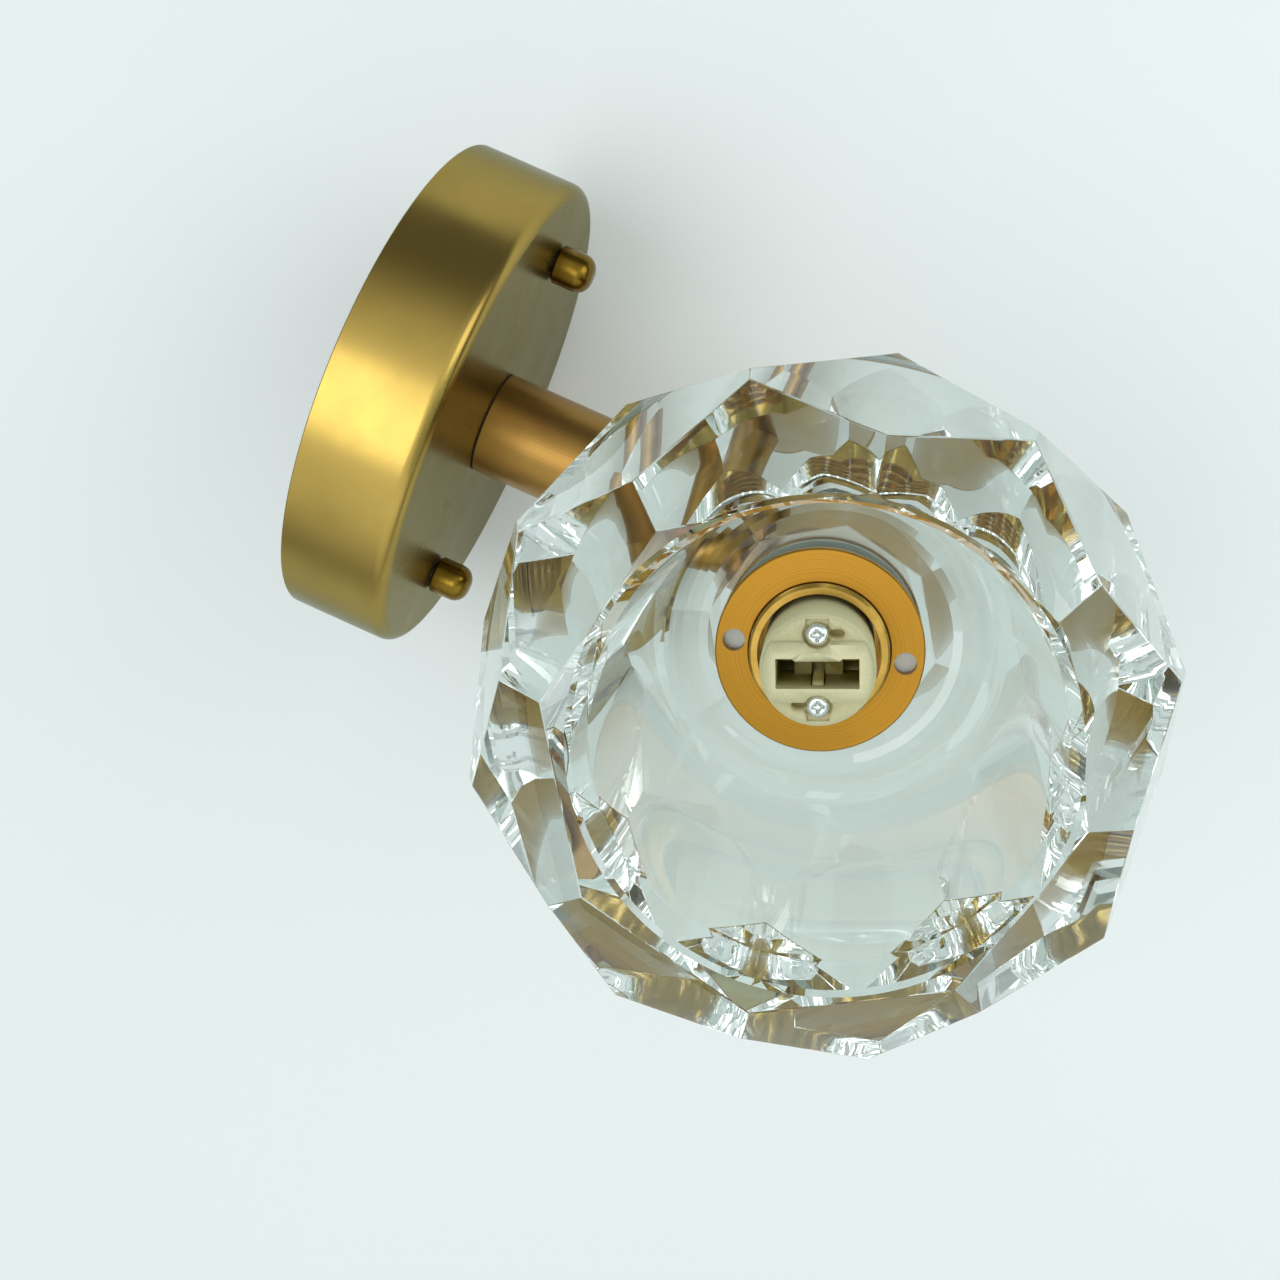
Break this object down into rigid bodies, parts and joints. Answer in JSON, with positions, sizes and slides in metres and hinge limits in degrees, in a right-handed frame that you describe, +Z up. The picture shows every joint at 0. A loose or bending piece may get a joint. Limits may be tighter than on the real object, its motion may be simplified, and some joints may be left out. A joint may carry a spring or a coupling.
{
  "type": "wall sconce",
  "caption": "Wall uplight: round brass canopy, straight brass arm and upright cup carrying a thick faceted crystal bowl round a two-pin ceramic lampholder.",
  "frame": {"origin": "middle of the wall bracket's back face, on the wall plane and on the axis of the arm", "axes": "+Y into the wall, so the sconce stands out along -Y; +Z up, the way the crystal bowl opens; +X to the right seen from the room"},
  "size_m": [0.12, 0.1721, 0.215],
  "materials": {
    "zinc_steel": "zinc plated",
    "brass_lacquered": "polished and lacquered",
    "brass_satin": "satin brushed",
    "brass_plain": "as turned",
    "brass_turned": "fine lathe lines",
    "nylon": "moulded",
    "steatite": "unglazed, slightly waxy",
    "contact_bronze": "sprung strip",
    "gasket_rubber": "translucent silicone",
    "crystal": "ground and polished facets"
  },
  "bodies": {
    "sconce": {"wall_bracket": "zinc_steel", "bracket_studs": "zinc_steel", "stud_lock_nuts": "zinc_steel", "earth_screw": "brass_plain", "earth_washer": "zinc_steel", "canopy": "brass_lacquered", "arm_tube": "brass_satin", "arm_wall_bush": "brass_plain", "arm_cup_bush": "brass_plain", "arm_rod": "zinc_steel", "wire_bush": "nylon", "wall_washer": "zinc_steel", "wall_nut": "zinc_steel", "saddle_washer": "zinc_steel", "cup_nut": "zinc_steel", "socket_cup": "brass_satin", "cup_base_cap": "brass_satin", "cup_lid": "brass_plain", "head_nipple": "zinc_steel", "head_nut_lower": "zinc_steel", "head_nut_upper": "zinc_steel", "socket_sleeve": "brass_plain", "holder_saddle": "zinc_steel", "lampholder_body": "steatite", "lampholder_cover": "steatite", "contact_clips": "contact_bronze", "socket_screws": "zinc_steel", "lower_gasket": "gasket_rubber"},
    "right_nut": {"cap_nut_right": "brass_lacquered"},
    "left_nut": {"cap_nut_left": "brass_lacquered"},
    "shade": {"crystal_shade": "crystal", "upper_gasket": "gasket_rubber"},
    "ring": {"retaining_ring": "brass_turned"}
  },
  "joints": [
    {"name": "right_nut_turn", "type": "hinge", "parent": "sconce", "child": "right_nut", "pos_m": [0.0415, -0.0258, 0], "axis": [0, 1, 0], "continuous": true},
    {"name": "left_nut_turn", "type": "hinge", "parent": "sconce", "child": "left_nut", "pos_m": [-0.0415, -0.0258, 0], "axis": [0, 1, 0], "continuous": true},
    {"name": "shade_lift", "type": "slide", "parent": "sconce", "child": "shade", "axis": [0, 0, 1], "range_m": [0, 0.05]},
    {"name": "ring_turn", "type": "hinge", "parent": "shade", "child": "ring", "pos_m": [0, -0.1154, 0.085], "axis": [0, 0, 1], "continuous": true}
  ]
}
